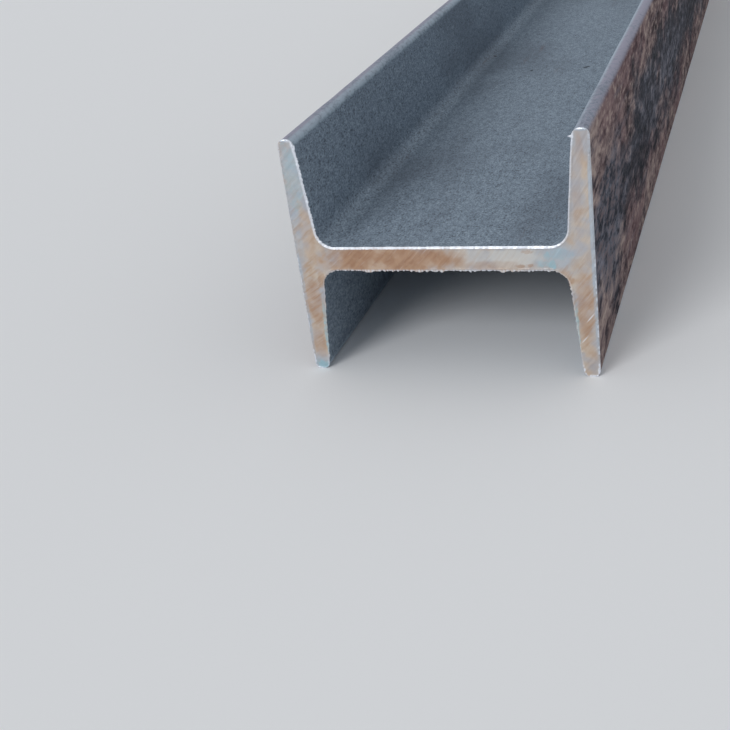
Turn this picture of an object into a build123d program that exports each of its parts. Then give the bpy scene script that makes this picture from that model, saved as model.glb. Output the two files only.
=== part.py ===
"""Rolled steel I-beam with tapered flanges, one stock length with both ends sawn square.

The beam lies on its side as it is stored: the web is level, the two flanges stand upright,
and it rests on the toes of both flanges. X runs across the depth of the section, Y along
the length and Z up the width of the flanges. The origin is under the middle of the beam,
at the height of the toes that it rests on.
"""
from build123d import *
import math
import os

# section, in millimetres
depth = 152.4  # over the outer faces of the two flanges
flange_width = 127.0  # from toe to toe
web_thickness = 12.0
flange_thickness = 10.4  # halfway between the web's face and the toe
flange_taper = 5.0  # degrees between a flange's inner and outer face
root_radius = 9.5  # between the web and the inner face of a flange
toe_radius = 3.9  # the inner corner of a toe
edge_radius = 3.7  # the outer corner of a toe, so that a toe is nearly a full round

# stock length between the two saw cuts
length = 6000.0

# one quarter of the section, measured from the middle of the web
half_depth = depth / 2
half_width = flange_width / 2
half_web = web_thickness / 2
overhang = half_width - half_web
thickening = math.tan(math.radians(flange_taper)) * overhang / 2
toe_thickness = flange_thickness - thickening
root_thickness = flange_thickness + thickening
toe_rounding = min(toe_radius, toe_thickness / 2)  # on a thin toe the two roundings meet in its middle
edge_rounding = min(edge_radius, toe_thickness / 2)

web_middle = (0, 0)
back = (half_depth, 0)
toe_outer = (half_depth, half_width)
toe_inner = (half_depth - toe_thickness, half_width)
root = (half_depth - root_thickness, half_web)
web_face = (0, half_web)

section_plane = Plane(origin=(0, 0, half_width), x_dir=(1, 0, 0), z_dir=(0, -1, 0))

with BuildPart() as i_beam:
    with BuildSketch(section_plane) as section:
        with BuildLine():
            Polyline(web_middle, back, toe_outer, toe_inner, root, web_face, close=True)
        make_face()
        # the rolls leave no sharp corner: a wide hollow at the root, and a toe rounded on both sides
        fillet(section.vertices().sort_by_distance(root)[0], radius=root_radius)
        fillet(section.vertices().sort_by_distance(toe_inner)[0], radius=toe_rounding)
        fillet(section.vertices().sort_by_distance(toe_outer)[0], radius=edge_rounding)
        mirror(about=Plane.XZ)
        mirror(about=Plane.YZ)
    extrude(amount=length / 2, both=True)

i_beam.part.label = "i_beam"

os.makedirs("parts", exist_ok=True)
export_step(i_beam.part, "parts/i_beam.step")

area = section.sketch.area
print("section area", round(area / 100, 2), "cm2, mass per metre", round(area * 7.85e-3, 2), "kg")
print("box", i_beam.part.bounding_box())
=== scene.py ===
import math
import bpy
import numpy as np
from mathutils import Matrix, Vector


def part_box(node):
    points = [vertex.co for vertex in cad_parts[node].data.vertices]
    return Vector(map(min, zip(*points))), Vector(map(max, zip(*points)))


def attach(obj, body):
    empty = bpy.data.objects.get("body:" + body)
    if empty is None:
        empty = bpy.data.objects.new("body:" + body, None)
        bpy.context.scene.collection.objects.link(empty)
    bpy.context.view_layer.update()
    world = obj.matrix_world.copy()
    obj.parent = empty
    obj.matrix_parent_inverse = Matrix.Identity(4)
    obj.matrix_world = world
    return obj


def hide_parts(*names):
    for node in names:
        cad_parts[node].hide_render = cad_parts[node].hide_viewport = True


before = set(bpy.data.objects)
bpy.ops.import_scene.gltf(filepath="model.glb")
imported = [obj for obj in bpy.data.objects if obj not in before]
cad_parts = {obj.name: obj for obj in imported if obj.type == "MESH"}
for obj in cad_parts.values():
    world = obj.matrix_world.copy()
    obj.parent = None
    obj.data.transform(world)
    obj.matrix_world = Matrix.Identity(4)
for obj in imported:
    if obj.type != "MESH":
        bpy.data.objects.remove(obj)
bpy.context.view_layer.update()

# the rolled section, in metres, as the solid has it; u runs across its depth, v up its width, from its middle
MM = 0.001
LOW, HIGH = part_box("i_beam")
DEPTH, LENGTH, WIDTH = (HIGH[k] - LOW[k] for k in range(3))
WEB = 12.0 * MM
FLANGE = 10.4 * MM  # halfway between the web's face and the toe
TAPER = math.radians(5.0)
ROOT_RADIUS = 9.5 * MM
TOE_RADIUS = 3.9 * MM
EDGE_RADIUS = 3.7 * MM

# one quarter of the section, measured from the middle of the web
HALF_DEPTH, HALF_WIDTH, HALF_WEB = DEPTH / 2, WIDTH / 2, WEB / 2
OVERHANG = HALF_WIDTH - HALF_WEB
THICKENING = math.tan(TAPER) * OVERHANG / 2
ROOT_U = HALF_DEPTH - FLANGE - THICKENING  # where the inner face would meet the web's face
TOE_U = HALF_DEPTH - FLANGE + THICKENING  # where the inner face would meet the toe
# from such a corner to the centre of its arc, along u and over the arc's radius
LEAN = (1 - math.sin(TAPER)) / math.cos(TAPER)
ROOT_CENTRE = (ROOT_U - ROOT_RADIUS * LEAN, HALF_WEB + ROOT_RADIUS)
TOE_CENTRE = (TOE_U + TOE_RADIUS * LEAN, HALF_WIDTH - TOE_RADIUS)
EDGE_CENTRE = (HALF_DEPTH - EDGE_RADIUS, HALF_WIDTH - EDGE_RADIUS)

# the rolled bar
BAR_SEED = 11
BAR_FLAT_STEP, BAR_ROUND_STEP = 2.3 * MM, 0.85 * MM  # between the outline's points, on flats and on arcs
BAR_RINGS = 112  # from a cut to the middle of the bar
FIRST_RING = 2.5 * MM  # from the cut
RING_GROWTH = 3.4
ROLL_WAVES = 18
ROLL_SINK = 0.05 * MM

# the sawn ends, with depths measured from the end plane
NEAR_SEED, FAR_SEED = 5, 8
FACE_DEPTH = 0.35 * MM
FACE_DEEPEST = 1.2 * MM
LIP_END = 1.38 * MM  # where the burr ends on the bar's skin
SEAM = 1.5 * MM  # where the rolled bar takes over
END_BACK = 3.0 * MM  # the hidden back, inside the bar
TUCK = 0.03 * MM  # how far under the bar's skin the hidden part lies
END_STEP = 0.36 * MM  # between the points of the face's lines
END_CELLS = 34  # across a flange, and through the web

# saw marks: waves and grooves about the blade's centre, which lies off the section
BLADE_CENTRE = (-0.240, 0.220)
BLADE_REACH = 0.35  # about how far the face lies from that centre, so that a turn times it is a length
MARK_WAVES, MARK_GROOVES = 26, 34
MARK_SLOPE = 0.0035  # a wave's height over its length
ANY_PHASE = 6.3  # radians, a full turn

# burr, bead and dubbed edge along a sawn outline
TEETH = 340
BURR_MOST = 1.3  # mm
EAR_HEIGHT, EAR_HALF_WIDTH = 1.8 * MM, 0.45 * MM
BEAD_PLACE, BEAD_WIDTH = 0.6 * MM, 0.4 * MM  # from the outline inwards
DUBBED_WIDTH = 0.38 * MM
EDGE_ZONE = 2.5 * MM  # points of the face this near the outline follow what the outline carries

# the rim of a sawn end, ring by ring from the face back
RIM_OUT = np.array([0.45, 0.82, 1.0, 0.88, 0.5, 0.16, 0.0, 0.0, 0.0])  # share of the burr's height
RIM_BACK = np.array([0.03, 0.12, 0.25, 0.45, 0.66, 0.84, 1.0])  # share of the way to the lip's end
RIM_TUCK = np.array([0, 0, 0, 0, 0, 0, 0, TUCK, TUCK])
RIM_BARE_AND_HIGHLIGHT = np.array([1, 1, 1, 1, 0.8, 0.45, 0.1, 0, 0])  # bare metal, and the painted highlight that rides on it
RIM_CUT = np.array([1, 1, 1, 0.9, 0.6, 0.25, 0, 0, 0])  # sawn finish, and rolled skin for the rest

# maps: a sawn end's has wide strips for the face and narrow ones for the rim, the bar's has three equal ones
MAP_GAP = 0.012
MAP_SIDES = (0.01, 0.99)
FACE_STRIPS, FACE_SHARE = 3, 13
RIM_STRIPS, RIM_SHARE = 6, 6
MAP_ROOM = 1 - (FACE_STRIPS + RIM_STRIPS + 1) * MAP_GAP  # what the gaps leave of the map's height
MAP_SHARE = MAP_ROOM / (FACE_STRIPS * FACE_SHARE + RIM_STRIPS * RIM_SHARE)
BAR_MAP_SIDES = (0.008, 0.992)
BAR_FOLDS, BAR_FOLD_PITCH, BAR_FOLD_HEIGHT = 3, 0.329, 0.318
CAP_CORNER = 0.004  # side of the map's corner where the hidden faces that close a piece lie

CREASE = math.radians(75)
BUMP_STRENGTH = 0.8

# camera, fitted to the outline of the sawn end, with the section's depth as the unit of length
IMAGE_PX = 730.0
FOCAL_PX = 1138.0
TURN = (0.4933, 0.3445, -0.0565)  # radians about each axis
OFFSET = (0.2406, -0.3417, 3.6825)  # of the end's middle from the camera
SENSOR = 36.0  # mm


def camera_matrix():
    """Where the camera stands and how it is turned.

    The rotation R is Rodrigues' formula for the turn vector, whose length is the angle and whose direction
    is the axis. R and the offset t carry the section's axes (across, down, along the beam) to the camera's
    (right, down, ahead). So the camera stands at -R^T t, and the rows of R are its axes.
    """
    turn = np.array(TURN)
    angle = np.linalg.norm(turn)
    x, y, z = turn / angle
    cross = np.array([[0, -z, y], [z, 0, -x], [-y, x, 0]])
    rot = np.eye(3) + math.sin(angle) * cross + (1 - math.cos(angle)) * cross @ cross
    centre = -rot.T @ np.array(OFFSET)

    def in_frame(v):
        """Across goes to X, along to Y and down to -Z."""
        return Vector((v[0], v[2], -v[1]))
    place = in_frame(centre) * DEPTH + Vector((0, -LENGTH / 2, WIDTH / 2))
    axes = Matrix((in_frame(rot[0]), -in_frame(rot[1]), -in_frame(rot[2]))).transposed()
    return Matrix.Translation(place) @ axes.to_4x4()


def arc(centre, radius, start, end, step):
    """Centre plus radius times (cos a, sin a), the angle a running evenly from start to end."""
    count = max(3, math.ceil(abs(end - start) * radius / step))
    a = np.linspace(start, end, count + 1)
    return np.stack([centre[0] + radius * np.cos(a), centre[1] + radius * np.sin(a)], 1)


def straight(start, end, step):
    """Points evenly spaced on the line from start to end."""
    start, end = np.array(start), np.array(end)
    count = max(1, math.ceil(np.linalg.norm(end - start) / step))
    return start + (end - start) * np.linspace(0, 1, count + 1)[:, None]


def joined(*runs):
    """Runs laid end to end, each after the first without its first point, which the last one ends on."""
    return np.concatenate([runs[0]] + [r[1:] for r in runs[1:]])


def upper_inner_run(flat_step, round_step):
    """From the web's face up to the toe: root hollow, leaning inner face, rounded inner corner of the toe."""
    root = arc(ROOT_CENTRE, ROOT_RADIUS, -math.pi / 2, -TAPER, round_step)
    toe = arc(TOE_CENTRE, TOE_RADIUS, math.pi - TAPER, math.pi / 2, round_step)
    return joined(root, straight(root[-1], toe[0], flat_step), toe)


def upper_outer_run(flat_step, round_step):
    """From the middle of the outer face up to the toe: flat face, small rounded corner."""
    edge = arc(EDGE_CENTRE, EDGE_RADIUS, 0, math.pi / 2, round_step)
    return joined(straight((HALF_DEPTH, 0), edge[0], flat_step), edge)


def mirrored_below(run):
    """The run's mirror image under the web, read the other way, so that it leads up to the run."""
    return (run * (1, -1))[::-1]


def lengths_along(curve):
    """Length of an open curve from its start to each of its points: the sum of the chords."""
    return np.concatenate([[0], np.cumsum(np.linalg.norm(np.diff(curve, axis=0), axis=1))])


def lengths_round(loop):
    """Length of a closed loop from its first point to each of its points, and the whole way round."""
    step = np.linalg.norm(np.roll(loop, -1, 0) - loop, axis=1)
    return np.concatenate([[0], np.cumsum(step)[:-1]]), step.sum()


def shares_of(curve):
    """Share of the curve's length at each of its points."""
    length = lengths_along(curve)
    return length / length[-1]


def at_shares(curve, shares):
    """Points of a curve at given shares of its length."""
    length = lengths_along(curve)
    return np.stack([np.interp(shares * length[-1], length, curve[:, k]) for k in (0, 1)], 1)


def crowded(count, crowd=0.55):
    """Shares from 0 to 1 that crowd towards both ends: an even run blended with half a cosine wave."""
    t = np.linspace(0, 1, count + 1)
    return (1 - crowd) * t + crowd * (1 - np.cos(np.pi * t)) / 2


def outward(loop):
    """Outward unit normal at each point of a closed anticlockwise loop: the chord past it, turned right."""
    chord = np.roll(loop, -1, 0) - np.roll(loop, 1, 0)
    chord /= np.linalg.norm(chord, axis=1)[:, None]
    return np.stack([chord[:, 1], -chord[:, 0]], 1)


def shorter_way(gap, total):
    """A gap along a closed loop, counted the shorter way round: from minus to plus half the loop's length."""
    return (gap + total / 2) % total - total / 2


def ripple(x, period, shortest, longest, count, rng):
    """Sum of cosine waves of random phase that repeat after the period, scaled to unit spread."""
    waves = rng.integers(max(1, int(period / longest)), int(period / shortest) + 1, count)
    phase = rng.uniform(0, 2 * np.pi, count)
    return np.cos(2 * np.pi * waves * x[..., None] / period + phase).sum(-1) / math.sqrt(count / 2)


def soft_step(x, low, high):
    """Smooth rise from 0 at low to 1 at high: 3t^2 - 2t^3."""
    t = np.clip((x - low) / (high - low), 0, 1)
    return t * t * (3 - 2 * t)


def grid_faces(index, uv, flip=False):
    """Quads between neighbours of a grid of vertex numbers, with the map place of each corner."""
    here, ahead = slice(None, -1), slice(1, None)
    corners = [(here, here), (here, ahead), (ahead, ahead), (ahead, here)]
    if flip:
        corners = corners[::-1]
    faces = np.stack([index[c] for c in corners], -1).reshape(-1, 4)
    places = np.stack([uv[c] for c in corners], -2).reshape(-1, 4, 2)
    return faces, places


def strip_uv(along, across, strip, sides=MAP_SIDES):
    """Map places of a grid laid in a level strip: rows by shares along it, columns by shares up it."""
    left, right = sides
    low, high = strip
    u, v = np.meshgrid(left + (right - left) * along, low + (high - low) * across, indexing="ij")
    return np.stack([u, v], -1)


def end_map_strips():
    """Low and high edge of each strip of a sawn end's map, one above the other with even gaps."""
    heights = np.array([FACE_SHARE] * FACE_STRIPS + [RIM_SHARE] * RIM_STRIPS) * MAP_SHARE
    tops = np.cumsum(heights + MAP_GAP)
    return list(zip(tops - heights, tops))


def make_piece(name, points, blocks, caps, material, attributes=()):
    """One closed mesh from whole arrays, which rides on the beam's body and takes its node's place.

    Blocks are quads with the map places of their corners. Caps are loops of vertices that close the mesh out
    of sight. Attributes are labels with a value at each vertex.
    """
    faces = np.concatenate([quads for quads, _ in blocks])
    loops = np.concatenate([faces.ravel(), *caps])
    totals = np.concatenate([np.full(len(faces), 4), [len(cap) for cap in caps]]).astype(np.int32)
    starts = np.concatenate([[0], np.cumsum(totals)[:-1]]).astype(np.int32)
    places = [corners.reshape(-1, 2) for _, corners in blocks]
    for cap in caps:
        flat = points[cap][:, [0, 2]]
        flat = flat - flat.min(0)
        places.append(flat / flat.max() * CAP_CORNER)
    mesh = bpy.data.meshes.new(name)
    mesh.vertices.add(len(points))
    mesh.vertices.foreach_set("co", np.ascontiguousarray(points, np.float32).ravel())
    mesh.loops.add(len(loops))
    mesh.loops.foreach_set("vertex_index", loops.astype(np.int32))
    mesh.polygons.add(len(totals))
    mesh.polygons.foreach_set("loop_start", starts)
    mesh.polygons.foreach_set("loop_total", totals)
    mesh.polygons.foreach_set("use_smooth", np.ones(len(totals), bool))
    mesh.materials.append(material)
    layer = mesh.uv_layers.new(name="OFBake")
    layer.data.foreach_set("uv", np.concatenate(places).astype(np.float32).ravel())
    for label, values in attributes:
        data = mesh.attributes.new(label, "FLOAT", "POINT")
        data.data.foreach_set("value", values.astype(np.float32))
    mesh.validate(clean_customdata=False)
    mesh.update()
    mesh.set_sharp_from_angle(angle=CREASE)
    piece = bpy.data.objects.new(name, mesh)
    bpy.context.scene.collection.objects.link(piece)
    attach(piece, "root")
    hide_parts("i_beam")


def edge_distance(u, v):
    """Distance from a point inside the section to its outline.

    By symmetry the point is taken to the first quarter. The distance is the least of those to the outer face,
    to the toe, and to the web's face, the hollow's arc or the leaning inner face, whichever it lies beside.
    """
    u, v = np.abs(u), np.abs(v)
    back = HALF_DEPTH - u
    toe = HALF_WIDTH - v
    web = HALF_WEB - v
    hollow = np.hypot(u - ROOT_CENTRE[0], v - ROOT_CENTRE[1]) - ROOT_RADIUS
    inner = (u - ROOT_U - (v - HALF_WEB) * math.tan(TAPER)) * math.cos(TAPER)
    beside = np.where(u < ROOT_CENTRE[0], web, np.where(v < ROOT_CENTRE[1], hollow, inner))
    return np.clip(np.minimum(np.minimum(back, toe), beside), 0, None)


def saw_relief(u, v, rng):
    """Height of the blade's marks.

    Cosine waves run in the distance from the blade's centre, and each swells and fades along its arc as a
    slower cosine. Grooves are Gaussians of that distance, cut short by Gaussians along the arc.
    """
    away = np.hypot(u - BLADE_CENTRE[0], v - BLADE_CENTRE[1])
    along = np.arctan2(v - BLADE_CENTRE[1], u - BLADE_CENTRE[0]) * BLADE_REACH
    height = np.zeros_like(away)
    for _ in range(MARK_WAVES):
        length = rng.uniform(1.0, 4.5) * MM
        swell = 0.5 + 0.5 * np.cos(2 * np.pi * along / rng.uniform(0.05, 0.16) + rng.uniform(0, ANY_PHASE))
        height += length * MARK_SLOPE * swell * np.cos(2 * np.pi * away / length + rng.uniform(0, ANY_PHASE))
    for _ in range(MARK_GROOVES):
        place = rng.uniform(0.24, 0.48)
        middle = rng.uniform(-0.55, 0.05) * BLADE_REACH
        reach = rng.uniform(0.004, 0.02)
        width = rng.uniform(0.18, 0.32) * MM
        deep = rng.uniform(0.03, 0.09) * MM
        height -= deep * np.exp(-((away - place) / width) ** 2) * np.exp(-((along - middle) / reach) ** 2)
    return height


def end_grids():
    """The sawn face: its points, its three grids of vertex numbers, its outline, and the grids' shares.

    A flange's grid is ruled between its inner and its outer line at equal shares of their lengths. The web's
    grid spans the two lines between the hollows and has its sides in common with the flanges. The outline is
    the vertices round the face, anticlockwise.
    """
    upper = upper_inner_run(END_STEP, END_STEP)
    across = crowded(END_CELLS)
    web_line = np.stack([np.full(END_CELLS + 1, ROOT_CENTRE[0]), -HALF_WEB + WEB * across], 1)
    inner = joined(mirrored_below(upper), web_line, upper)
    outer = upper_outer_run(END_STEP, END_STEP / 6)
    outer = at_shares(joined(mirrored_below(outer), outer), shares_of(inner))
    flange = inner[:, None] + (outer - inner)[:, None] * across[None, :, None]

    low, top = len(upper) - 1, len(upper) - 1 + END_CELLS  # rows where the web begins and ends
    web_shares = np.linspace(0, 1, math.ceil(2 * ROOT_CENTRE[0] / END_STEP) + 1)
    span = -ROOT_CENTRE[0] + 2 * ROOT_CENTRE[0] * web_shares[1:-1]
    between = np.stack(np.meshgrid(span, web_line[:, 1]), -1)
    flat = np.concatenate([flange.reshape(-1, 2), (flange * (-1, 1)).reshape(-1, 2), between.reshape(-1, 2)])

    rows, columns = flange.shape[:2]
    right = np.arange(rows * columns).reshape(rows, columns)
    left = right + rows * columns
    middle = 2 * rows * columns + np.arange(between.size // 2).reshape(between.shape[:2])
    web = np.concatenate([left[low:top + 1, :1], middle, right[low:top + 1, :1]], 1)
    outline = np.concatenate([right[:, -1], right[-1, -2::-1], right[-2:top:-1, 0], web[-1, ::-1],
                              left[top + 1:, 0], left[-1, 1:], left[-2::-1, -1], left[0, -2::-1],
                              left[1:low, 0], web[0], right[low - 1::-1, 0], right[0, 1:-1]])
    return flat, (right, left, web), outline, (shares_of(inner), across, web_shares)


def burr_along(edge, normal, rng):
    """Heights of burr, bead and dubbed edge along the outline, the burr's reach, and its brightness with a
    painted highlight.

    Short lumps and a long swell, both ripples along the outline, vary the heights. The burr is a rolled lip
    above the web, jagged on the left flange, and torn teeth below it. Teeth are Gaussians of random place,
    width and height. On the toes only spurs stay.
    """
    u, v = edge[:, 0], edge[:, 1]
    s, total = lengths_round(edge)

    # where on the outline each stretch lies, as shares from 0 to 1
    facing_channel = soft_step(HALF_DEPTH - 3.4 * MM - np.abs(u), 0, 1.5 * MM)
    above = soft_step(v, -2 * MM, 2 * MM)
    on_web = soft_step(ROOT_CENTRE[0] + 7 * MM - np.abs(u), 0, 8 * MM)
    flat_web = soft_step(ROOT_CENTRE[0] - np.abs(u), -4 * MM, 6 * MM)
    crown = soft_step(np.abs(v), 52 * MM, 60 * MM)
    left_edge = (u < 0) * above * facing_channel * (1 - on_web)
    lower_right_toe = soft_step(-v, 57 * MM, 61 * MM) * (u > 0)

    lumps = ripple(s, total, 1.2 * MM, 4 * MM, 40, rng)
    swell = ripple(s, total, 9 * MM, 40 * MM, 24, rng)
    teeth_at = rng.uniform(0, total, TEETH)
    teeth_wide = rng.uniform(0.35, 1.3, TEETH) * MM
    teeth_high = rng.uniform(0.1, 0.95, TEETH) ** 1.5
    teeth = (teeth_high * np.exp(-(shorter_way(s[:, None] - teeth_at, total) / teeth_wide) ** 2)).sum(1)

    # the burr's height, in mm up to the line that leaves only spurs on the toes
    lip = (0.30 + 0.26 * on_web) * (1 + 0.05 * lumps + 0.08 * swell)
    lip = lip + (0.3 * np.clip(teeth, 0, 1.1) + 0.24 * np.clip(lumps + 0.3, 0, 1.6)) * left_edge
    torn = 0.26 + 0.14 * lumps + 0.12 * flat_web + np.clip(teeth, 0, 1.2) * (0.45 + 0.65 * flat_web)
    burr = np.clip(lip * above + torn * (1 - above), 0.02, BURR_MOST) * np.maximum(facing_channel, crown)
    spurs = 0.12 + 0.9 * np.clip(teeth - 0.35, 0, 1)
    burr = burr * (1 - crown * (1 - spurs)) * MM
    # one ear of burr hangs from the inner corner of the right flange's upper toe
    hangs = np.argmin(np.hypot(u - TOE_CENTRE[0] + TOE_RADIUS, v - TOE_CENTRE[1]))
    ear = np.exp(-(shorter_way(s - s[hangs], total) / EAR_HALF_WIDTH) ** 2)
    # the burr stays inside the section's box
    room = np.minimum((HALF_WIDTH - np.abs(v)) / np.clip(np.abs(normal[:, 1]), 0.05, 1),
                      (HALF_DEPTH - np.abs(u)) / np.clip(np.abs(normal[:, 0]), 0.05, 1))
    burr = np.minimum(np.maximum(burr, EAR_HEIGHT * ear), 0.85 * room)

    bead = np.clip(0.16 + 0.05 * lumps + 0.05 * swell, 0.02, 0.3) * MM
    dubbed = np.clip(0.25 + 0.17 * ripple(s, total, 2.2 * MM, 9 * MM, 40, rng) + 0.08 * swell, 0.04, 0.75)
    dubbed = dubbed * (1 - 0.8 * facing_channel) * (1 - 0.6 * crown) * MM

    # brightness: bare metal with a painted highlight, most on the web's upward-facing upper lip, and in beads
    # along the lower outer edges
    chips = ripple(s, total, 2.6 * MM, 11 * MM, 40, rng)
    beaded = (1 - facing_channel) * soft_step(-v, -14 * MM, 4 * MM)
    beaded = beaded * np.clip(0.15 + 0.45 * chips + 0.5 * swell, 0, 1)
    broken = np.clip(0.85 + 0.3 * lumps, 0, 1)
    bare_and_highlight = 0.30 + 0.70 * np.maximum(above * on_web * broken, beaded) + 0.2 * above * facing_channel
    bare_and_highlight = bare_and_highlight + 0.25 * crown * broken + 0.5 * ear + 0.2 * left_edge
    bare_and_highlight = bare_and_highlight + 0.6 * lower_right_toe * np.clip(0.5 + 0.7 * lumps, 0, 1)
    bare_and_highlight = bare_and_highlight + 0.25 * (1 - above) * on_web * np.clip(0.5 + 0.6 * lumps, 0, 1)
    reach = (0.62 + 0.45 * crown + 0.3 * left_edge) * MM
    return burr, bead, dubbed, bare_and_highlight, reach


def nearest_on(edge, flat, distance):
    """Number of the outline's point nearest to each point of the edge zone; 0 for points further in."""
    nearest = np.zeros(len(flat), int)
    near = np.where(distance < EDGE_ZONE)[0]
    for block in np.array_split(near, max(1, len(near) // 4000)):
        nearest[block] = np.argmin(((flat[block, None] - edge[None]) ** 2).sum(-1), 1)
    return nearest


def sawn_end(name, side, seed, material):
    """A sawn end: the face's three grids, and a rim round them that carries the burr and ends inside the bar.

    The face's depth is even but for the blade's marks, a faint product of two cosines, the bead and the
    dubbed edge. The last two are Gaussians of the distance to the outline. Each ring of the rim is the
    outline pushed out by a share of the burr's height. Side is -1 for the near end and 1 for the far end.
    """
    rng = np.random.default_rng(seed)
    flat, (right, left, web), outline, (row_shares, across, web_shares) = end_grids()
    edge = flat[outline]
    normal = outward(edge)
    burr, bead, dubbed, bare_and_highlight, reach = burr_along(edge, normal, rng)

    distance = edge_distance(flat[:, 0], flat[:, 1])
    nearest = nearest_on(edge, flat, distance)
    rise = bead[nearest] * np.exp(-((distance - BEAD_PLACE) / BEAD_WIDTH) ** 2)
    drop = dubbed[nearest] * np.exp(-(distance / DUBBED_WIDTH) ** 2)
    uneven = 0.05 * MM * np.cos(flat[:, 0] * 70 + seed) * np.cos(flat[:, 1] * 90 + 2 * seed)
    depth = FACE_DEPTH - saw_relief(flat[:, 0], flat[:, 1], rng) - uneven - rise + drop
    depth = np.clip(depth, 0.0, FACE_DEEPEST)

    rim = edge + normal * (RIM_OUT[:, None] * burr - RIM_TUCK[:, None])[..., None]
    rim_depth = depth[outline] + RIM_BACK[:, None] * (LIP_END - depth[outline])
    hidden_depth = np.repeat([SEAM, END_BACK], len(outline))
    all_flat = np.concatenate([flat, rim.reshape(-1, 2)])
    all_depth = np.concatenate([depth, rim_depth.ravel(), hidden_depth])
    points = np.stack([all_flat[:, 0], side * (LENGTH / 2 - all_depth), all_flat[:, 1] + HALF_WIDTH], 1)

    flip = side > 0
    strips = end_map_strips()
    blocks = [grid_faces(right, strip_uv(row_shares, across, strips[0]), flip),
              grid_faces(left, strip_uv(row_shares, across, strips[1]), not flip),
              grid_faces(web, strip_uv(web_shares, across, strips[2]).transpose(1, 0, 2), flip)]
    count = len(outline)
    rings = np.concatenate([outline[None], len(flat) + np.arange(len(RIM_OUT) * count).reshape(-1, count)])
    cuts = np.linspace(0, count, RIM_STRIPS + 1).astype(int)
    for first, last, strip in zip(cuts[:-1], cuts[1:], strips[FACE_STRIPS:]):
        columns = np.arange(first, last + 1) % count
        uv = strip_uv(np.linspace(0, 1, len(columns)), np.linspace(0, 1, len(rings)), strip)
        blocks.append(grid_faces(rings[:, columns].T, uv, flip))
    back = rings[-1] if flip else rings[-1, ::-1]

    # the burr's bare metal and its painted highlight, fading in from the outline over the face and along the
    # rim
    burr_and_highlight_share = np.concatenate([np.exp(-(distance / reach[nearest]) ** 2) * bare_and_highlight[nearest],
                                 (RIM_BARE_AND_HIGHLIGHT[:, None] * bare_and_highlight).ravel()])
    cut_share = np.concatenate([np.ones(len(flat)), np.repeat(RIM_CUT, count)])
    make_piece(name, points, blocks, [back], material, [("burr", burr_and_highlight_share), ("cut", cut_share)])


def bar_outline():
    """The section's outline, anticlockwise from the middle of the right outer face: a quarter, mirrored."""
    inner = upper_inner_run(BAR_FLAT_STEP, BAR_ROUND_STEP)
    outer = upper_outer_run(BAR_FLAT_STEP, BAR_ROUND_STEP)
    toe = straight(outer[-1], inner[-1], BAR_FLAT_STEP)
    web_top = straight(inner[0], inner[0] * (-1, 1), BAR_FLAT_STEP)
    quarter = joined(outer, toe, inner[::-1])
    upper = joined(quarter, web_top, (quarter * (-1, 1))[::-1])
    return joined(upper, (upper * (1, -1))[::-1])[:-1]


def rolled_bar(name, material):
    """The rolled length: the section's outline carried along Y, sunk by the faint waves that the rolls leave.

    A ring's distance from its cut is a line plus a power of its number, so the rings widen towards the
    middle. The waves are cosines of the place along the bar and round the outline. They go inwards only and
    fade at the cuts.
    """
    rng = np.random.default_rng(BAR_SEED)
    loop = bar_outline()
    normal = outward(loop)
    s, total = lengths_round(loop)
    reach = LENGTH / 2 - SEAM
    t = np.linspace(0, 1, BAR_RINGS + 1)
    even = FIRST_RING * BAR_RINGS / reach
    from_cut = reach * (even * t + (1 - even) * t ** RING_GROWTH)
    y = np.concatenate([-reach + from_cut, (reach - from_cut)[-2::-1]])

    waves = np.zeros((len(y), len(loop)))
    for _ in range(ROLL_WAVES):
        along = rng.uniform(0.03, 0.22)
        turns = rng.integers(1, 26)
        phase = rng.uniform(0, ANY_PHASE)
        waves += np.cos(2 * np.pi * (y[:, None] / along + turns * s[None] / total) + phase)
    fade = soft_step(np.minimum(y - y[0], y[-1] - y), 0, 12 * MM)
    sink = ROLL_SINK * np.clip(waves / 3 + 1.2, 0, None) * fade[:, None]
    ring = loop[None] - normal[None] * sink[..., None]
    place_y = np.broadcast_to(y[:, None], sink.shape)
    points = np.stack([ring[..., 0], place_y, ring[..., 1] + HALF_WIDTH], -1)

    # the map folds the bar in three, so that a pixel is about as long as it is wide
    index = np.arange(sink.size).reshape(sink.shape)
    columns = np.arange(len(loop) + 1) % len(loop)
    around = np.append(s, total) / total
    folds = [0, *np.searchsorted(y, [-LENGTH / 6, LENGTH / 6]), len(y) - 1]
    blocks = []
    for k in range(BAR_FOLDS):
        first, last = folds[k], folds[k + 1]
        shares = (y[first:last + 1] - y[first]) / (y[last] - y[first])
        low = MAP_GAP + k * BAR_FOLD_PITCH
        uv = strip_uv(shares, around, (low, low + BAR_FOLD_HEIGHT), BAR_MAP_SIDES)
        blocks.append(grid_faces(index[first:last + 1][:, columns], uv, True))
    make_piece(name, points.reshape(-1, 3), blocks, [index[0], index[-1, ::-1]], material)


def shade(red, green, blue):
    """Linear colour of a surface whose colour in plain light reads as these values out of 255."""
    c = np.array([red, green, blue]) / 255
    return (*np.where(c > 0.04045, ((c + 0.055) / 1.055) ** 2.4, c / 12.92), 1.0)


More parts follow.
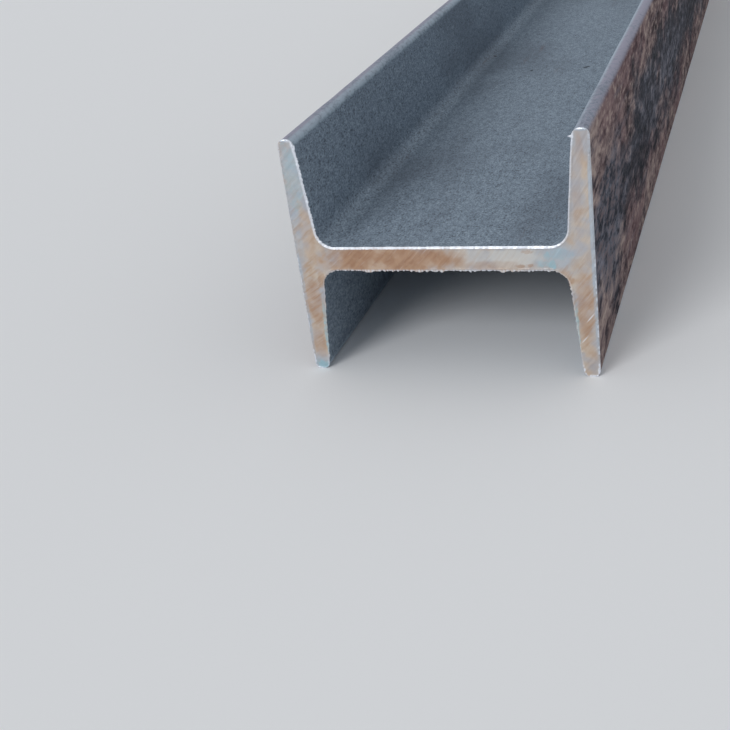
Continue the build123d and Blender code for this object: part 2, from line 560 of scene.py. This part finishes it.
class Finish:
    """A material built node by node; every pattern reads Object coordinates in metres."""

    def __init__(self, name):
        self.material = bpy.data.materials.new(name)
        self.material.use_nodes = True
        self.tree = self.material.node_tree
        self.shader = self.tree.nodes["Principled BSDF"]
        self.place = self.tree.nodes.new("ShaderNodeTexCoord").outputs["Object"]
        parts = self.tree.nodes.new("ShaderNodeSeparateXYZ")
        self.tree.links.new(self.place, parts.inputs[0])
        self.x, self.y, self.z = parts.outputs

    def put(self, value, socket):
        """Link an output to the socket, or write a plain value on it."""
        if isinstance(value, bpy.types.NodeSocket):
            self.tree.links.new(value, socket)
        else:
            socket.default_value = value

    def maths(self, operation, a, b=0.0, c=0.0):
        """One of the Math node's operations on up to three values."""
        n = self.tree.nodes.new("ShaderNodeMath")
        n.operation = operation
        for value, socket in zip((a, b, c), n.inputs):
            self.put(value, socket)
        return n.outputs[0]

    def times(self, a, b):
        """Product of two values."""
        return self.maths("MULTIPLY", a, b)

    def line(self, value, slope, base):
        """The value times the slope, plus the base."""
        return self.maths("MULTIPLY_ADD", value, slope, base)

    def blend(self, share, a, b):
        """Value between a and b by the share."""
        return self.line(share, self.maths("SUBTRACT", b, a), a)

    def vector(self, operation, *values):
        """One of the Vector Math node's operations."""
        n = self.tree.nodes.new("ShaderNodeVectorMath")
        n.operation = operation
        for value, socket in zip(values, n.inputs):
            self.put(value, socket)
        return n.outputs["Value" if operation == "LENGTH" else "Vector"]

    def oval(self, place, scale, shift):
        """Length of the place once scaled and shifted: 1 on the border of an oval, less inside it."""
        return self.vector("LENGTH", self.vector("MULTIPLY_ADD", place, scale, shift))

    def combined(self, x, y, z=0.0):
        """Vector of three values."""
        n = self.tree.nodes.new("ShaderNodeCombineXYZ")
        for value, socket in zip((x, y, z), n.inputs):
            self.put(value, socket)
        return n.outputs[0]

    def noise(self, place, stretch, detail=3.0, rough=0.5, distort=0.0, shift=0.0):
        """Noise whose lumps are about one over the stretch long on each axis."""
        at = self.vector("MULTIPLY_ADD", place, stretch, (shift, shift * 0.7, shift * 1.3))
        n = self.tree.nodes.new("ShaderNodeTexNoise")
        for label, value in (("Vector", at), ("Scale", 1.0), ("Detail", detail), ("Roughness", rough),
                             ("Distortion", distort)):
            self.put(value, n.inputs[label])
        return n.outputs["Fac"]

    def rise(self, value, low, high, start=0.0, end=1.0):
        """Smooth rise from start where the value is low to end where it is high."""
        n = self.tree.nodes.new("ShaderNodeMapRange")
        n.interpolation_type = "SMOOTHSTEP"
        for label, given in (("Value", value), ("From Min", low), ("From Max", high), ("To Min", start),
                             ("To Max", end)):
            self.put(given, n.inputs[label])
        return n.outputs["Result"]

    def mix(self, share, a, b):
        """Colour between a and b by the share."""
        n = self.tree.nodes.new("ShaderNodeMix")
        n.data_type = "RGBA"
        for label, given in (("Factor_Float", share), ("A_Color", a), ("B_Color", b)):
            self.put(given, next(s for s in n.inputs if s.identifier == label))
        return next(s for s in n.outputs if s.identifier == "Result_Color")

    def ramp(self, value, *stops):
        """Colour by the value, blended evenly between the stops."""
        n = self.tree.nodes.new("ShaderNodeValToRGB")
        marks = n.color_ramp.elements
        while len(marks) < len(stops):
            marks.new(0.5)
        for mark, (place, colour) in zip(marks, stops):
            mark.position = place
            mark.color = colour
        self.put(value, n.inputs["Fac"])
        return n.outputs["Color"]

    def attribute(self, name):
        """Value of one of the piece's own point attributes."""
        n = self.tree.nodes.new("ShaderNodeAttribute")
        n.attribute_name = name
        return n.outputs["Fac"]

    def patches(self, spots, wander):
        """The strongest of several soft ovals on the section, their borders moved by the wander."""
        most = 0.0
        for u, v, half_u, half_v, strength in spots:
            scale = (1 / (half_u * MM), 0, 1 / (half_v * MM))
            away = self.oval(self.place, scale, (-u / half_u, 0, -(v * MM + HALF_WIDTH) / (half_v * MM)))
            spot = self.rise(self.maths("ADD", away, wander), 1.2, 0.65, 0.0, strength)
            most = self.maths("MAXIMUM", most, spot)
        return most

    def bump(self, height, distance):
        """Normals tilted by a height from 0 to 1 that stands for the distance."""
        n = self.tree.nodes.new("ShaderNodeBump")
        self.put(height, n.inputs["Height"])
        n.inputs["Distance"].default_value = distance
        n.inputs["Strength"].default_value = BUMP_STRENGTH
        return n.outputs["Normal"]

    def done(self, colour, rough, metal, normal, gloss=0.5):
        """The finished material; gloss is the shader's specular level."""
        for label, given in (("Base Color", colour), ("Roughness", rough), ("Metallic", metal),
                             ("Normal", normal)):
            self.put(given, self.shader.inputs[label])
        self.shader.inputs["Specular IOR Level"].default_value = gloss
        return self.material


# sawn steel, as its colours read in plain light
COOL_STEEL = shade(167, 174, 187)
SILVER_STEEL = shade(180, 196, 209)
BURR_STEEL = shade(226, 231, 240)
WARM_FILM = shade(195, 181, 166)
# painted light: a pale neutral that brightens the web's end face as if lit by bounced light
PALE_PAINTED_LIGHT = shade(207, 205, 200)
TAN_FILM = shade(176, 148, 124)
RUST_FILM = shade(170, 136, 109)
DEEP_RUST = shade(146, 108, 82)
TEAL_TINT = shade(148, 190, 202)

# rolled skin: scale in the channels, darker skin on the outer faces, and the toes' crests
SCALE_LIGHT = shade(163, 177, 191)
SCALE_MID = shade(130, 144, 158)
SCALE_DARK = shade(91, 99, 111)
SKIN_BLACK = shade(24, 26, 34)
SKIN_BLUE = shade(61, 64, 75)
SKIN_GREY = shade(132, 134, 147)
SKIN_UMBER = shade(57, 47, 50)
SKIN_BROWN = shade(113, 97, 98)
SKIN_TAN = shade(148, 131, 128)
SKIN_SAND = shade(178, 162, 154)
SKIN_RED = shade(130, 102, 106)
CREST_LILAC = shade(158, 156, 172)
ROLLED_GLOSS = 0.015  # the shader's specular level

# marks on the ends, as ovals: u and v from the web's middle, half length, half height (all in mm), strength.
# Scratches are in blade coordinates: distance from its centre, turn times the reach, half width, half length
NEAR_MARKS = {
    "rust": [(-26, 0.2, 39, 8.5, 0.95), (-52, -3.0, 12, 4.0, 0.6), (24, -3.6, 16, 3.0, 0.35),
             (-68, 16, 4.0, 15, 0.3), (-70, -24, 5.0, 13, 0.6), (-71.5, -48, 3.6, 9, 0.5),
             (70.5, -25, 4.6, 20, 0.55), (69, 34, 2.4, 24, 0.2), (72, -50, 3.4, 10, 0.2),
             (71.3, 53, 2.4, 9, 0.3)],
    "rust specks": [(40.4, -3.9, 2.8, 1.0, 0.6), (45.2, -3.4, 2.6, 0.9, 0.5), (43.6, 3.6, 2.8, 0.9, 0.4),
                    (-8, 3.6, 5, 1.2, 0.45), (62, -11, 3.2, 6, 0.45), (-64.5, -12, 2.2, 6, 0.4)],
    "silver": [(56, 1.5, 12, 8, 0.8), (36, 0.5, 14, 6, 0.4), (75.5, 6, 1.3, 62, 0.9),
               (72.2, 63.6, 5, 2.0, 0.9), (-72.2, 63.6, 5, 1.8, 0.8), (-73.6, 34, 3.4, 36, 0.6),
               (-68, 48, 7.0, 18, 0.7), (68, 50, 4, 16, 0.5), (-75.4, -20, 1.2, 40, 0.7),
               (-72, -60, 6, 5, 0.7)],
    # pale: painted light, which draws the web brighter than the flanges
    "pale": [(17, 1.0, 10, 5.0, 0.45), (36, 0.5, 15, 5.5, 0.7)],
    "teal": [(50.4, -2.6, 4.0, 2.2, 0.5), (53.6, 1.2, 1.8, 2.4, 0.6), (56.0, -2.9, 1.7, 2.2, 0.75),
             (59.5, 2.5, 5.5, 3.0, 0.35), (-72, -61.8, 5, 4.2, 0.8), (-66.4, -47, 1.3, 14, 0.85),
             (-66.0, -28, 0.9, 9, 0.5), (66, -40, 1.0, 18, 0.6), (-70.5, 44, 5, 20, 0.3)],
    "scored": [(69, -24, 7, 24, 0.9), (-70, -22, 6, 26, 0.8), (-70, 22, 6, 16, 0.5), (26, 0, 22, 7, 0.35)],
    "scratches": [(401.0, -236.7, 0.45, 3.6), (406.0, -246.7, 0.35, 3.2)],
}
FAR_MARKS = {
    "rust": [(18, 0, 34, 8, 0.9), (-34, 1.5, 18, 5, 0.5), (70, 30, 4.5, 18, 0.5), (-70, -30, 4.5, 22, 0.5),
             (-69, 36, 3, 14, 0.3), (71, -44, 3.5, 12, 0.3)],
    "rust specks": [(-44, 3.4, 4.0, 1.0, 0.5), (57, -4.0, 3.4, 1.0, 0.5)],
    "silver": [(-52, 0, 12, 8, 0.8), (48, 0, 10, 6, 0.5), (-75, 0, 1.5, 60, 0.8), (75, 10, 1.6, 40, 0.8)],
    # pale: painted light, which draws the web brighter than the flanges
    "pale": [(-22, 0.5, 12, 5.0, 0.6)],
    "teal": [(-50, 4, 5, 2.6, 0.8), (72, -62.5, 5, 3.4, 0.8)],
    "scored": [(-69, 20, 7, 24, 0.8), (40, 0, 20, 7, 0.4)],
    "scratches": [(285.0, -300.0, 0.4, 4.0), (378.0, -190.0, 0.35, 3.0)],
}
NEAR_SHIFT, FAR_SHIFT = 0.0, 20.0  # of an end's noise, so that the two ends differ


def sawn_finish(name, marks, shift):
    """Sawn steel: cool metal under a warm film, with rust, tints and strokes along the blade's arcs.

    Arcs holds the distance from the blade's centre and the turn about it times the reach, in mm. Wander is
    noise that moves the borders of large patches, and frayed tears those of small ones along the strokes.
    The shift gives each end a pattern of its own. Behind the cut the rolled skin takes over.
    """
    f = Finish(name)
    du = f.maths("SUBTRACT", f.x, BLADE_CENTRE[0])
    dv = f.maths("SUBTRACT", f.z, BLADE_CENTRE[1] + HALF_WIDTH)
    away = f.maths("SQRT", f.maths("ADD", f.times(du, du), f.times(dv, dv)))
    arcs = f.combined(f.times(away, 1 / MM), f.times(f.maths("ARCTAN2", dv, du), BLADE_REACH / MM))
    strokes = f.noise(arcs, (0.55, 0.06, 1.0), 3.0, 0.55, 0.2, shift)
    broad = f.noise(arcs, (0.13, 0.07, 1.0), 3.0, 0.5, 0.8, shift + 3)
    fine = f.noise(arcs, (2.4, 0.11, 1.0), 2.0, 0.6, 0.0, shift + 5)
    cloud = f.noise(f.place, (70.0, 70.0, 70.0), 2.0, 0.5, 0.4, shift)
    ragged = f.noise(f.place, (260.0, 260.0, 260.0), 4.0, 0.6, 0.4, shift + 8)
    blotch = f.noise(f.place, (140.0, 140.0, 140.0), 2.0, 0.42, 0.1, shift + 11)
    wander = f.line(f.blend(0.35, cloud, broad), -1.3, f.line(ragged, -0.4, 0.85))
    frayed = f.maths("ADD", wander, f.line(f.blend(0.5, strokes, ragged), -3.0, 1.5))
    # bare metal and the film on it, and pale patches of painted light on the web
    bare = f.patches(marks["silver"], wander)
    film = f.times(f.rise(f.blend(0.3, cloud, broad), 0.32, 0.62, 0.25, 1.0), f.line(bare, -0.85, 1.0))
    colour = f.mix(f.times(bare, 0.7), COOL_STEEL, SILVER_STEEL)
    colour = f.mix(film, colour, WARM_FILM)
    colour = f.mix(f.times(f.rise(blotch, 0.5, 0.64, 0.0, 0.45), film), colour, TAN_FILM)
    colour = f.mix(f.rise(blotch, 0.5, 0.32, 0.0, 0.5), colour, COOL_STEEL)
    scored = f.line(f.patches(marks["scored"], wander), 0.7, 0.12)
    colour = f.mix(f.times(f.rise(strokes, 0.48, 0.66), scored), colour, TAN_FILM)
    # painted light: pale patches that brighten the web's end face
    colour = f.mix(f.patches(marks["pale"], wander), colour, PALE_PAINTED_LIGHT)
    # rust and tints
    rusted = f.maths("MAXIMUM", f.patches(marks["rust"], wander), f.patches(marks["rust specks"], frayed))
    stain = f.mix(f.rise(f.blend(0.5, strokes, blotch), 0.4, 0.64, 0.05, 0.8), RUST_FILM, DEEP_RUST)
    stain = f.mix(f.rise(ragged, 0.5, 0.75, 0.0, 0.4), stain, TAN_FILM)
    stain = f.mix(f.rise(blotch, 0.5, 0.3, 0.0, 0.35), stain, WARM_FILM)
    colour = f.mix(rusted, colour, stain)
    thin = f.rise(f.blend(0.4, ragged, blotch), 0.38, 0.6, 0.35, 0.95)
    colour = f.mix(f.times(f.patches(marks["teal"], frayed), thin), colour, TEAL_TINT)
    # fine strokes, scratches and the burr, whose bare metal carries a painted highlight on the web's upper
    # lip
    colour = f.mix(f.rise(fine, 0.58, 0.8, 0.0, 0.22), colour, BURR_STEEL)
    colour = f.mix(f.rise(fine, 0.42, 0.22, 0.0, 0.18), colour, DEEP_RUST)
    for distance, turn, half_wide, half_long in marks["scratches"]:
        off = f.oval(arcs, (1 / half_wide, 1 / half_long, 0), (-distance / half_wide, -turn / half_long, 0))
        colour = f.mix(f.rise(off, 1.0, 0.3, 0.0, 0.6), colour, BURR_STEEL)
    beads = f.noise(f.place, (900.0, 900.0, 900.0), 2.0, 0.5, 0.0, shift)
    # the burr attribute brings bare metal and a painted highlight, strongest on the web's upward-facing lip
    edge = f.times(f.rise(f.attribute("burr"), 0.1, 0.75), f.rise(beads, 0.3, 0.55, 0.7, 1.0))
    colour = f.mix(edge, colour, BURR_STEEL)
    rough = f.blend(edge, f.blend(rusted, 0.5, 0.72), 0.44)
    metal = f.blend(rusted, f.blend(film, 0.7, 0.35), 0.08)
    height = f.maths("ADD", f.times(strokes, 0.6), f.line(fine, 0.45, ragged))
    # the rolled skin behind the cut
    skin, skin_rough, skin_metal, skin_height = rolled_pattern(f)
    cut = f.rise(f.attribute("cut"), 0.1, 0.5)
    height = f.blend(cut, skin_height, f.blend(edge, height, beads))
    return f.done(f.mix(cut, skin, colour), f.blend(cut, skin_rough, rough), f.blend(cut, skin_metal, metal),
                  f.bump(height, 0.1 * MM))


def rolled_pattern(f):
    """Mill scale: colour, roughness, metal and height of the rolled skin.

    The channels are sandy blue-grey. The outer faces are near black, mottled with rust towards both toes,
    with flecks drawn out along the bar, and lighter with more brown flecks in a stretch by each cut. The
    toes' crests are paler, and barer inside.
    """
    side = f.maths("ABSOLUTE", f.x)
    level = f.maths("ABSOLUTE", f.maths("SUBTRACT", f.z, HALF_WIDTH))
    outer = f.rise(side, HALF_DEPTH - 1.6 * MM, HALF_DEPTH - 0.2 * MM)
    crest = f.rise(level, HALF_WIDTH - 3.4 * MM, HALF_WIDTH - 0.4 * MM)
    # lighter, with more brown flecks, over the last 5 to 15 cm by each cut
    by_the_cuts = f.rise(f.maths("ABSOLUTE", f.y), LENGTH / 2 - 0.15, LENGTH / 2 - 0.05)
    grain = f.noise(f.place, (1150.0, 620.0, 1150.0), 2.0, 0.6)
    sand = f.noise(f.place, (430.0, 230.0, 430.0), 3.0, 0.65, 0.0, 2.0)
    wide = f.noise(f.place, (24.0, 9.0, 24.0), 3.0, 0.5, 0.0, 9.0)
    streak = f.noise(f.place, (90.0, 14.0, 260.0), 4.0, 0.6, 0.3, 7.0)
    # channels
    salt = f.line(grain, 0.65, f.times(sand, 0.35))
    channel = f.ramp(salt, (0.35, SCALE_DARK), (0.49, SCALE_MID), (0.65, SCALE_LIGHT))
    channel = f.mix(f.rise(wide, 0.45, 0.7, 0.0, 0.35), channel, SCALE_DARK)
    spots = f.noise(f.place, (75.0, 60.0, 75.0), 2.0, 0.5, 0.0, 13.0)
    channel = f.mix(f.rise(spots, 0.735, 0.77, 0.0, 0.75), channel, SKIN_BLACK)
    channel = f.mix(f.rise(spots, 0.275, 0.24, 0.0, 0.5), channel, SCALE_LIGHT)
    stained = f.times(f.rise(streak, 0.6, 0.74), f.rise(wide, 0.5, 0.62, 0.0, 0.45))
    channel = f.mix(stained, channel, SKIN_BROWN)
    # outer faces
    mottle = f.noise(f.place, (105.0, 42.0, 105.0), 6.0, 0.62, 0.15, 4.0)
    fleck = f.noise(f.place, (310.0, 105.0, 310.0), 3.0, 0.6, 0.25, 19.0)
    cloud = f.noise(f.place, (30.0, 11.0, 36.0), 3.0, 0.55, 0.2, 17.0)
    drift = f.noise(f.place, (16.0, 7.0, 26.0), 2.0, 0.5, 0.5, 23.0)
    lumps = f.line(mottle, 0.7, f.line(fleck, 0.36, -0.03))
    lumps = f.maths("ADD", lumps, f.line(drift, 0.35, -0.175))
    lumps = f.line(by_the_cuts, 0.05, lumps)
    wander = f.line(cloud, 0.11, f.line(mottle, 0.09, -0.1))
    rusty = f.rise(f.maths("ADD", level, wander), 16 * MM, 52 * MM)
    dark = f.ramp(f.line(by_the_cuts, 0.035, lumps), (0.37, SKIN_BLACK), (0.53, SKIN_BLUE), (0.72, SKIN_GREY))
    dark = f.mix(f.times(f.rise(fleck, 0.45, 0.64, 0.0, 0.75), f.blend(by_the_cuts, 0.25, 1.0)), dark, SKIN_BROWN)
    dark = f.mix(f.rise(fleck, 0.48, 0.32, 0.0, 0.7), dark, SKIN_BLACK)
    warm = f.ramp(lumps, (0.33, SKIN_UMBER), (0.48, SKIN_BROWN), (0.60, SKIN_TAN), (0.73, SKIN_SAND))
    warm = f.mix(f.rise(wide, 0.46, 0.62, 0.0, 0.38), warm, SKIN_RED)
    warm = f.mix(f.rise(fleck, 0.53, 0.70, 0.0, 0.6), warm, SKIN_SAND)
    warm = f.mix(f.rise(fleck, 0.46, 0.30, 0.0, 0.45), warm, SKIN_UMBER)
    face = f.mix(rusty, dark, warm)
    face = f.mix(f.rise(streak, 0.54, 0.74, 0.0, 0.25), face, SKIN_GREY)
    colour = f.mix(outer, channel, face)
    # crests of the toes
    worn = f.rise(f.line(sand, 0.5, f.times(cloud, 0.5)), 0.38, 0.56, 0.35, 0.95)
    colour = f.mix(f.times(crest, worn), colour, CREST_LILAC)
    inside = f.times(f.rise(level, HALF_WIDTH - 4.5 * MM, HALF_WIDTH - 2.5 * MM),
                     f.rise(side, TOE_U + 3.4 * MM, TOE_U + 1.2 * MM, 0.0, 0.8))
    colour = f.mix(f.times(inside, worn), colour, SILVER_STEEL)
    rough = f.blend(f.times(outer, rusty), f.rise(grain, 0.3, 0.7, 0.48, 0.62), 0.82)
    metal = f.blend(outer, 0.3, 0.0)
    height = f.maths("ADD", f.times(grain, 0.45), f.line(sand, 0.6, f.times(outer, mottle)))
    return colour, rough, metal, height


def rolled_finish(name):
    """The rolled skin of the bar."""
    f = Finish(name)
    colour, rough, metal, height = rolled_pattern(f)
    return f.done(colour, rough, metal, f.bump(height, 0.16 * MM), ROLLED_GLOSS)


rolled_bar("rolled_bar", rolled_finish("rolled_steel"))
sawn_end("sawn_end_near", -1, NEAR_SEED, sawn_finish("sawn_steel_near", NEAR_MARKS, NEAR_SHIFT))
sawn_end("sawn_end_far", 1, FAR_SEED, sawn_finish("sawn_steel_far", FAR_MARKS, FAR_SHIFT))

# camera
lens = bpy.data.cameras.new("camera")
lens.sensor_width = SENSOR
lens.lens = FOCAL_PX * SENSOR / IMAGE_PX
lens.clip_start = 0.01
camera = bpy.data.objects.new("camera", lens)
bpy.context.scene.collection.objects.link(camera)
camera.matrix_world = camera_matrix()
bpy.context.scene.camera = camera

# floor
FLOOR_HALF = 30
FLOOR_COLOUR, FLOOR_ROUGHNESS = shade(234, 235, 237), 0.8
mesh = bpy.data.meshes.new("floor")
corners = [(x * FLOOR_HALF, y * FLOOR_HALF, 0) for x, y in ((-1, -1), (1, -1), (1, 1), (-1, 1))]
mesh.from_pydata(corners, [], [(0, 1, 2, 3)])
paint = bpy.data.materials.new("floor")
paint.use_nodes = True
shader = paint.node_tree.nodes["Principled BSDF"]
shader.inputs["Base Color"].default_value = FLOOR_COLOUR
shader.inputs["Roughness"].default_value = FLOOR_ROUGHNESS
mesh.materials.append(paint)
floor = bpy.data.objects.new("floor", mesh)
bpy.context.scene.collection.objects.link(floor)

# light: an even pale sky and a broad soft key from the front left
SKY_COLOUR, SKY_LEVEL = (0.95, 0.975, 1.0, 1), 0.55
BACKDROP = shade(206, 209, 212)
KEY_TOWARDS, KEY_LEVEL, KEY_SOFTNESS = (0.35, 0.80, -0.50), 1.45, 0.5
world = bpy.data.worlds.new("world")
bpy.context.scene.world = world
world.use_nodes = True
nodes, links = world.node_tree.nodes, world.node_tree.links
sky = nodes["Background"]
sky.inputs["Color"].default_value = SKY_COLOUR
sky.inputs["Strength"].default_value = SKY_LEVEL
# what the camera and the metal's reflections see behind the floor is as pale as the floor
backdrop = nodes.new("ShaderNodeBackground")
backdrop.inputs["Color"].default_value = BACKDROP
ray = nodes.new("ShaderNodeLightPath")
shown = ray.outputs["Is Camera Ray"]
for kind in ("Is Glossy Ray", "Is Transmission Ray"):
    either_ray = nodes.new("ShaderNodeMath")
    either_ray.operation = "MAXIMUM"
    links.new(shown, either_ray.inputs[0])
    links.new(ray.outputs[kind], either_ray.inputs[1])
    shown = either_ray.outputs["Value"]
sky_or_backdrop = nodes.new("ShaderNodeMixShader")
links.new(shown, sky_or_backdrop.inputs["Fac"])
links.new(sky.outputs["Background"], sky_or_backdrop.inputs[1])
links.new(backdrop.outputs["Background"], sky_or_backdrop.inputs[2])
links.new(sky_or_backdrop.outputs["Shader"], nodes["World Output"].inputs["Surface"])

key = bpy.data.lights.new("key", "SUN")
key.energy = KEY_LEVEL
key.angle = KEY_SOFTNESS
key_lamp = bpy.data.objects.new("key", key)
bpy.context.scene.collection.objects.link(key_lamp)
key_lamp.rotation_euler = Vector(KEY_TOWARDS).to_track_quat("-Z", "Y").to_euler()

bpy.context.scene.view_settings.view_transform = "Standard"
